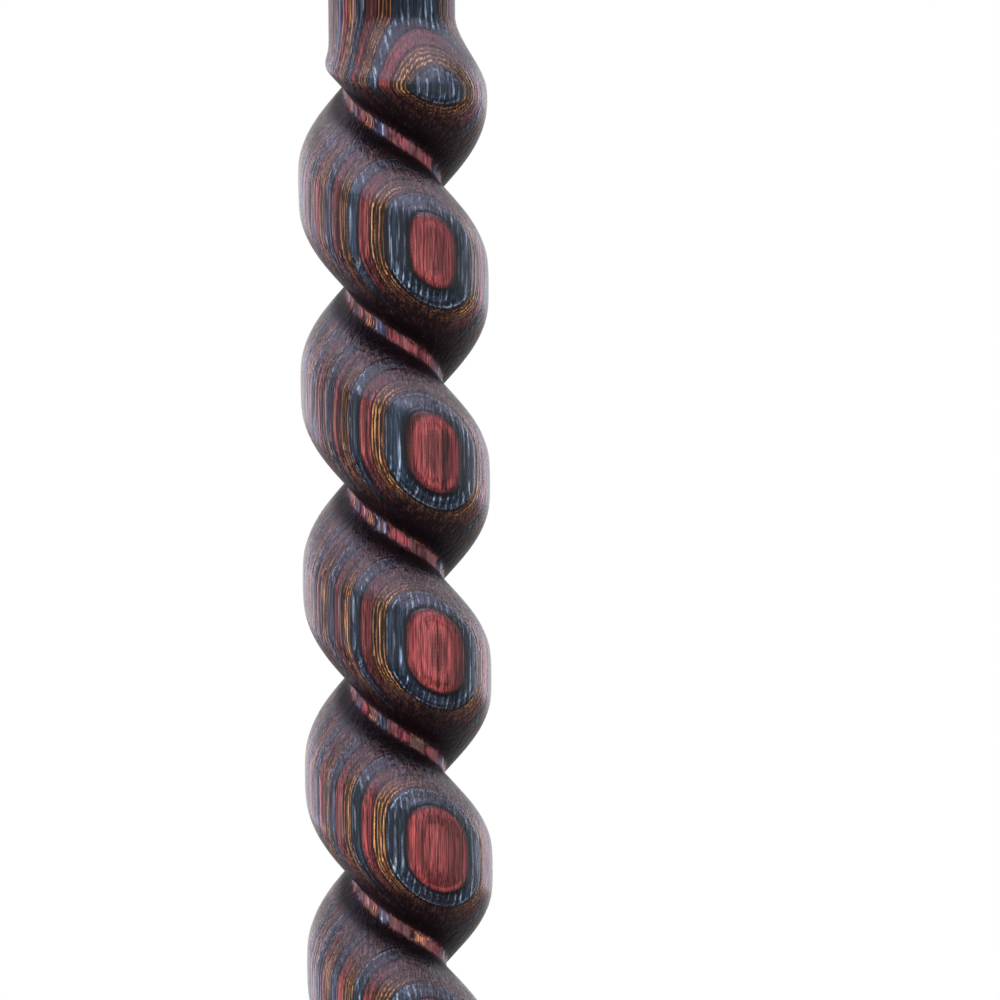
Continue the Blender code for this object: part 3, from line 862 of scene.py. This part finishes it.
# Handle: a palm grip, nose at +X, on a round neck that stands in the collar
handleShape = {
    # along the handle, middle's drop below the top, half height, half width
    "stations": (
        (51.0 * mm, 26.0 * mm, 8.5 * mm, 7.5 * mm),
        (41.0 * mm, 24.0 * mm, 17.8 * mm, 13.6 * mm),
        (14.0 * mm, 17.5 * mm, 17.4 * mm, 14.7 * mm),
        (0.0, 17.0 * mm, 17.0 * mm, 14.5 * mm),
        (-14.0 * mm, 16.5 * mm, 16.5 * mm, 14.5 * mm),
        (-43.0 * mm, 16.5 * mm, 14.0 * mm, 14.0 * mm),
        (-72.0 * mm, 23.5 * mm, 11.5 * mm, 12.2 * mm),
        (-83.0 * mm, 28.0 * mm, 6.5 * mm, 7.0 * mm),
    ),
    "neckStations": (2, 3, 4),
    "neckBlend": 5.5 * mm,
    "neckRadius": 12.5 * mm,
    "top": 0.940,
    "skin": 1.5 * mm,
    "ringPoints": 8,
    "levels": 4,
}


def makeHandle():
    h = handleShape
    count = h["ringPoints"]
    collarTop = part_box("collar")[1][2]
    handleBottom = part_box("handle")[0][2]
    shape = bmesh.new()
    rings = []
    for along, drop, halfHeight, halfWidth in h["stations"]:
        middle = h["top"] + h["skin"] - drop
        ring = []
        for index in range(count):
            angle = fullTurn * index / count
            place = (along, halfWidth * math.cos(angle), middle + halfHeight * math.sin(angle))
            ring.append(shape.verts.new(place))
        rings.append(ring)
    bottom = 3 * count // 4
    for station, (front, back) in enumerate(zip(rings, rings[1:])):
        overNeck = station in h["neckStations"][:-1]
        joinRings(shape, front, back, (bottom - 1, bottom) if overNeck else ())
    closeEnds(shape, rings)
    first, middle, last = (rings[station] for station in h["neckStations"])
    mouth = [middle[bottom - 1], first[bottom - 1], first[bottom], first[bottom + 1],
             middle[bottom + 1], last[bottom + 1], last[bottom], last[bottom - 1]]
    shape.verts.remove(middle[bottom])
    # the smoothed skin lies this much inside the corners of a round cage
    cageRadius = h["neckRadius"] / ((4.0 + 2.0 * math.cos(fullTurn / count)) / 6.0)
    neck = [mouth]
    for height in (collarTop + h["neckBlend"], collarTop, handleBottom):
        neck.append(ringAt(shape, [cageRadius] * count, height, -fullTurn / 4.0))  # from -Y, as the mouth
    loftRings(shape, neck)
    seat = shape.faces.new(neck[-1])
    bmesh.ops.recalc_face_normals(shape, faces=shape.faces)
    crease = shape.edges.layers.float.new("crease_edge")
    for edge in seat.edges:
        edge[crease] = 1.0
    piece = newPiece("palmHandle", shape)
    skin = piece.modifiers.new("skin", "SUBSURF")
    skin.levels = skin.render_levels = h["levels"]
    evaluated = piece.evaluated_get(bpy.context.evaluated_depsgraph_get())
    smooth = bpy.data.meshes.new_from_object(evaluated)
    piece.modifiers.clear()
    piece.data = smooth
    return piece


handleWood = makeWood("handleWood", True, Shift=0.9)
finishPiece(makeHandle(), "cane", "handle", handleWood)


# Collar: a polished brass sleeve with a bead at each end and a turned line beside it
collarShape = {
    "wall": 1.0 * mm,
    "gap": 0.3 * mm,
    "bead": 0.6 * mm,
    "beadHeight": 2.2 * mm,
    "beadSteps": 10,
    "line": 0.18 * mm,
    "lineSteps": 6,
    "boreChamfer": 0.25 * mm,
    "around": 128,
    "sharpAngle": math.radians(40.0),
}


def makeCollar():
    c = collarShape
    bottom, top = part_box("collar")[0][2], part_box("collar")[1][2]
    bore = shaftShape["neckRadius"] + c["gap"]
    outer = bore + c["wall"]
    half = c["beadHeight"] / 2.0
    line, chamfer = c["line"], c["boreChamfer"]
    upper = [(bore, top - chamfer), (bore + chamfer, top)]
    upper += arc((outer, top - half), (c["bead"], half), 90, -90, c["beadSteps"])
    upper += [(outer, top - 2.0 * half - line)]
    upper += arc((outer, top - 2.0 * half - 3.0 * line), (-line, line), 90, -90, c["lineSteps"])
    lower = [(radius, bottom + top - height) for radius, height in reversed(upper)]
    return lathe("brassCollar", lower[-1:] + upper + lower[:-1], c["around"], c["sharpAngle"])


finishPiece(makeCollar(), "cane", "collar", makeBrass())


# Stud: a threaded steel rod, half in the handle and half in the shaft
studShape = {
    "threadPitch": 1.25 * mm,
    "threadDepth": 0.55 * mm,
    "ringsPerThread": 8,
    "around": 32,
    "chamfer": 0.8 * mm,
    "sharpAngle": math.radians(60.0),
}


def makeStud():
    s = studShape
    rise = s["threadPitch"] / s["ringsPerThread"]
    count = int((studTop - studBottom) / rise)
    shape = bmesh.new()
    rings = []
    for step in range(count + 1):
        height = studBottom + (studTop - studBottom) * step / count
        fromEnd = min(height - studBottom, studTop - height)
        edge = studRadius - s["chamfer"] + min(fromEnd, s["chamfer"])
        radii = []
        for index in range(s["around"]):
            turn = (height / s["threadPitch"] - index / s["around"]) % 1.0
            thread = studRadius - s["threadDepth"] * abs(2.0 * turn - 1.0)
            radii.append(min(thread, edge))
        rings.append(ringAt(shape, radii, height))
    loftRings(shape, rings)
    closeEnds(shape, rings)
    return newPiece("threadedStud", shape, s["sharpAngle"])


finishPiece(makeStud(), "cane", "handle_stud", makeSteel("stud"))


# Washer: a punched steel disc with its edges rolled over
washerShape = {"holeRadius": 4.0 * mm, "edge": 0.3 * mm, "edgeSteps": 4, "around": 96}


def makeWasher():
    w = washerShape
    low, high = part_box("tip_washer")
    edge = w["edge"]
    inner, outer = w["holeRadius"] + edge, high[0] - edge
    bottom, top = low[2] + edge, high[2] - edge
    middles = {270: (inner, bottom), 180: (inner, top), 90: (outer, top), 0: (outer, bottom)}
    profile = []
    for start, middle in middles.items():
        profile += arc(middle, (edge, edge), start, start - 90, w["edgeSteps"])
    return lathe("tipWasher", profile, w["around"])


finishPiece(makeWasher(), "foot", "tip_washer", makeSteel("washer"))


# Ferrule: a moulded rubber cup with a bead, eight flutes, a flared skirt and a ringed tread
ferruleShape = {
    "height": 34.0 * mm,
    "floor": 7.0 * mm,
    "socketRadius": 12.05 * mm,
    "socketFillet": 0.6 * mm,
    "filletSteps": 4,
    "lipRadius": 11.80 * mm,       # the bead's lip hugs the wood
    "beadRadius": 14.75 * mm,
    "beadStep": 3.0 * mm,          # from the top down to the crease under the bead
    "beadSteps": 16,
    "sleeveRadius": 16.2 * mm,
    "shoulder": 3.4 * mm,
    "shoulderSteps": 10,
    "waistRadius": 15.6 * mm,
    "waistHeight": 12.8 * mm,
    "skirtRadius": 17.9 * mm,
    "skirtHeight": 5.4 * mm,
    "skirtCurve": 1.7,
    "baseRadius": 15.3 * mm,
    "footSteps": 14,
    "flutes": 8,
    "fluteRadius": 2.3 * mm,
    "fluteDepth": 1.5 * mm,
    "fluteBottom": 9.2 * mm,
    "fluteBelowBead": 1.2 * mm,
    "fluteBearing": math.radians(-80.0),
    "fluteEdge": 0.25 * mm,
    "rubbedAndHighlitEdge": 0.30 * mm,       # how far from a flute's edge the rubber is painted paler, as wear and as a painted highlight
    "rubbedFoot": (1.44 * mm, 4.8 * mm),    # the foot's wear fades out between these heights
    "footWear": 0.35,
    "treadRadii": (12.6 * mm, 8.4 * mm),
    "treadWidth": 1.8 * mm,
    "treadDepth": 0.9 * mm,
    "treadSteps": 8,
    "around": 320,
    "wallStep": 0.25 * mm,
    "sharpAngle": math.radians(50.0),
}


def sleeveProfile():
    f = ferruleShape
    wallTop = f["height"] - f["beadStep"] - f["shoulder"]
    shoulderRadii = (f["sleeveRadius"] - f["beadRadius"], f["shoulder"])
    points = arc((f["beadRadius"], wallTop), shoulderRadii, 90, 0, f["shoulderSteps"])
    stretches = ((wallTop, f["waistHeight"], f["sleeveRadius"], f["waistRadius"], 1.0),
                 (f["waistHeight"], f["skirtHeight"], f["waistRadius"], f["skirtRadius"], f["skirtCurve"]))
    for high, low, above, below, curve in stretches:
        steps = math.ceil((high - low) / f["wallStep"])
        for step in range(1, steps + 1):
            share = step / steps
            points.append((above + (below - above) * share ** curve, high + (low - high) * share))
    return points[:-1]  # the foot begins with the last one


def fluteFloor(angle, height):  # the cutter is an upright capsule that bites into the wall
    f = ferruleShape
    spacing = fullTurn / f["flutes"]
    offset = (angle - f["fluteBearing"] + spacing / 2.0) % spacing - spacing / 2.0
    top = f["height"] - f["beadStep"] - f["fluteBelowBead"] - f["fluteRadius"]
    bottom = f["fluteBottom"] + f["fluteRadius"]
    beyond = max(height - top, bottom - height, 0.0)
    middle = f["sleeveRadius"] - f["fluteDepth"] + f["fluteRadius"]
    reach = f["fluteRadius"] ** 2 - beyond**2 - (middle * math.sin(offset)) ** 2
    if reach <= 0.0:
        return middle
    return middle * math.cos(offset) - math.sqrt(reach)


def makeFerrule():
    f = ferruleShape
    count = f["around"]
    fillet = f["socketFillet"]
    beadHalf = (f["beadRadius"] - f["lipRadius"]) / 2.0
    beadMiddle = (f["lipRadius"] + beadHalf, f["height"] - beadHalf)
    floorRadius = f["socketRadius"] - fillet
    inner = [(floorRadius, f["floor"])]
    inner += arc((floorRadius, f["floor"] + fillet), (fillet, fillet), -90, 0, f["filletSteps"])
    rim = arc(beadMiddle, (beadHalf, beadHalf), 180, 0, f["beadSteps"])
    footRadii = (f["skirtRadius"] - f["baseRadius"], f["skirtHeight"])
    foot = arc((f["baseRadius"], f["skirtHeight"]), footRadii, 0, -90, f["footSteps"])
    tread = []
    for radius in f["treadRadii"]:
        for step in range(f["treadSteps"] + 1):
            across = 1.0 - 2.0 * step / f["treadSteps"]
            tread.append((radius + across * f["treadWidth"] / 2.0, f["treadDepth"] * (1.0 - across * across)))
    shape = bmesh.new()
    rubbedAndHighlit = shape.verts.layers.float.new("rubbedAndHighlit")
    bearings = [f["fluteBearing"] + fullTurn * index / count for index in range(count)]
    sleeve = sleeveProfile()
    rings = []
    for part in (inner, rim, sleeve, foot, tread):
        for radius, height in part:
            radii, worn = [radius] * count, [0.0] * count
            if part is sleeve:
                cuts = [fluteFloor(bearing, height) for bearing in bearings]
                radii = [smoothMin(radius, cut, f["fluteEdge"]) for cut in cuts]
                # the flute edges are painted paler: partly wear, partly a painted highlight
                worn = [1.0 - smoothStep(0.0, f["rubbedAndHighlitEdge"], abs(radius - cut)) for cut in cuts]
            if part is foot:
                worn = [f["footWear"] * (1.0 - smoothStep(*f["rubbedFoot"], height))] * count
            rings.append(ringAt(shape, radii, height, f["fluteBearing"]))
            for corner, wear in zip(rings[-1], worn):
                corner[rubbedAndHighlit] = wear
    loftRings(shape, rings)
    shape.faces.new(rings[0])
    shape.faces.new(rings[-1])
    bmesh.ops.remove_doubles(shape, verts=shape.verts, dist=0.001 * mm)
    bmesh.ops.recalc_face_normals(shape, faces=shape.faces)
    return newPiece("rubberFerrule", shape, f["sharpAngle"])


finishPiece(makeFerrule(), "foot", "ferrule", makeRubber())


# Studio: a pale floor that fades into a white backdrop
floorLook = {
    "size": 6.0,
    "colour": (0.20, 0.20, 0.21, 1.0),
    "seenColour": (0.74, 0.74, 0.75, 1.0),
    "roughness": 0.6,
    "shadowShare": 0.40,
    "fadeFrom": 0.5,
    "fadeTo": 1.6,
}
worldLook = {"fill": (0.90, 0.94, 1.0, 1.0), "fillStrength": 0.03, "seen": (1.0, 1.0, 1.0, 1.0)}


def seenRays(tree, path):
    seen = maths(tree, "MAXIMUM", path["Is Camera Ray"], path["Is Glossy Ray"])
    return maths(tree, "MAXIMUM", seen, path["Is Transmission Ray"])


def whiteWhereSeen(tree, share, plain, white, output):
    mix = addNode(tree, "ShaderNodeMixShader", "white where it is seen")
    feed(tree, mix.inputs[0], share)
    feed(tree, mix.inputs[1], plain.outputs[0])
    feed(tree, mix.inputs[2], white.outputs[0])
    feed(tree, tree.nodes[output].inputs["Surface"], mix.outputs[0])


def makeFloor():
    look = floorLook
    shape = bmesh.new()
    bmesh.ops.create_grid(shape, x_segments=2, y_segments=2, size=look["size"])
    floor = newPiece("studioFloor", shape)
    made, tree, shader = newMaterial("paleFloor", Roughness=look["roughness"])
    path = addNode(tree, "ShaderNodeLightPath", "light path").outputs
    colour = blendColours(tree, path["Is Camera Ray"], look["colour"], look["seenColour"])
    feed(tree, shader.inputs["Base Color"], colour)
    distance = addNode(tree, "ShaderNodeVectorMath", "from the foot", operation="LENGTH")
    feed(tree, distance.inputs[0], objectPlaces(tree))
    fade = stepBetween(tree, distance.outputs["Value"], look["fadeFrom"], look["fadeTo"],
                       1.0 - look["shadowShare"], 1.0)
    white = addNode(tree, "ShaderNodeEmission", "backdrop white")
    share = maths(tree, "MULTIPLY", seenRays(tree, path), fade)
    whiteWhereSeen(tree, share, shader, white, "Material Output")
    floor.data.materials.append(made)
    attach(floor, "foot")  # stays under the ferrule when it is pulled off


def makeWorld():
    world = bpy.data.worlds.new("studioWorld")
    bpy.context.scene.world = world
    world.use_nodes = True
    tree = world.node_tree
    fill = tree.nodes["Background"]
    fill.inputs["Color"].default_value = worldLook["fill"]
    fill.inputs["Strength"].default_value = worldLook["fillStrength"]
    white = addNode(tree, "ShaderNodeBackground", "backdrop white")
    white.inputs["Color"].default_value = worldLook["seen"]
    path = addNode(tree, "ShaderNodeLightPath", "light path").outputs
    whiteWhereSeen(tree, seenRays(tree, path), fill, white, "World Output")


# Lamps: bearing and elevation round the cane, distance, width, height, watts, and what they serve
lampPlan = {
    "keySoftbox": (35, 7, 2.0, 0.9, 0.9, 27.0, "shade"),
    "leftSoftbox": (-35, 12, 2.0, 0.9, 0.9, 16.0, "shade"),
    "sideSoftbox": (110, 3, 2.0, 0.9, 0.9, 20.0, "shade"),
    "backSoftbox": (225, 12, 2.0, 0.9, 0.9, 26.0, "shade"),
    "ceiling": (65, 80, 1.6, 3.2, 3.2, 190.0, "gloss"),
    "glintLamp": (120, 42, 1.8, 0.2, 0.2, 3.0, "gloss"),
    "leftStrip": (-20, 10, 1.8, 0.15, 1.8, 5.0, "gloss"),
    "leftWall": (-70, 5, 1.8, 0.5, 1.8, 9.0, "gloss"),
    "rightWall": (200, 5, 1.8, 0.5, 1.8, 9.0, "gloss"),
}
lampAim = Vector((0.0, 0.0, 0.5))
glossTint = (0.81, 0.73, 1.0)


def around(bearing, elevation, distance):
    turn, rise = math.radians(bearing), math.radians(elevation)
    flat = distance * math.cos(rise)
    return Vector((flat * math.sin(turn), -flat * math.cos(turn), distance * math.sin(rise)))


def makeLamps():
    for name, (bearing, elevation, distance, width, height, watts, serves) in lampPlan.items():
        light = bpy.data.lights.new(name, "AREA")
        light.shape = "RECTANGLE"
        light.size, light.size_y, light.energy = width, height, watts
        lamp = addObject(name, light)
        lamp.location = lampAim + around(bearing, elevation, distance)
        lamp.rotation_mode = "QUATERNION"
        lamp.rotation_quaternion = (lampAim - lamp.location).to_track_quat("-Z", "Y")
        lamp.visible_camera = False
        lamp.visible_glossy = serves == "gloss"
        lamp.visible_diffuse = serves == "shade"
        if serves == "gloss":
            light.color = glossTint


makeFloor()
makeWorld()
makeLamps()
print("studio ready")

# Camera: metres and degrees, focal length and frame width in pixels, sensor width in millimetres
cameraView = {
    "bearing": 65.4,
    "distance": 0.670,
    "height": 0.740,
    "pitch": 4.48,
    "yaw": 1.77,
    "roll": -0.38,
    "focal": 3371.0,
    "frameWidth": 1000.0,
    "sensorWidth": 36.0,
    "clipStart": 0.01,
}


def makeCamera():
    v = cameraView
    data = bpy.data.cameras.new("camera")
    data.sensor_width = v["sensorWidth"]
    data.lens = v["sensorWidth"] * v["focal"] / v["frameWidth"]
    data.clip_start = v["clipStart"]
    camera = addObject("camera", data)
    turn = Matrix.Rotation(math.radians(v["bearing"] - v["yaw"]), 4, "Z")
    tilt = Matrix.Rotation(math.radians(90.0 - v["pitch"]), 4, "X")
    roll = Matrix.Rotation(math.radians(v["roll"]), 4, "Z")
    place = around(v["bearing"], 0.0, v["distance"]) + Vector((0.0, 0.0, v["height"]))
    camera.matrix_world = Matrix.Translation(place) @ turn @ tilt @ roll
    bpy.context.scene.camera = camera


makeCamera()
bpy.context.scene.view_settings.view_transform = "Standard"
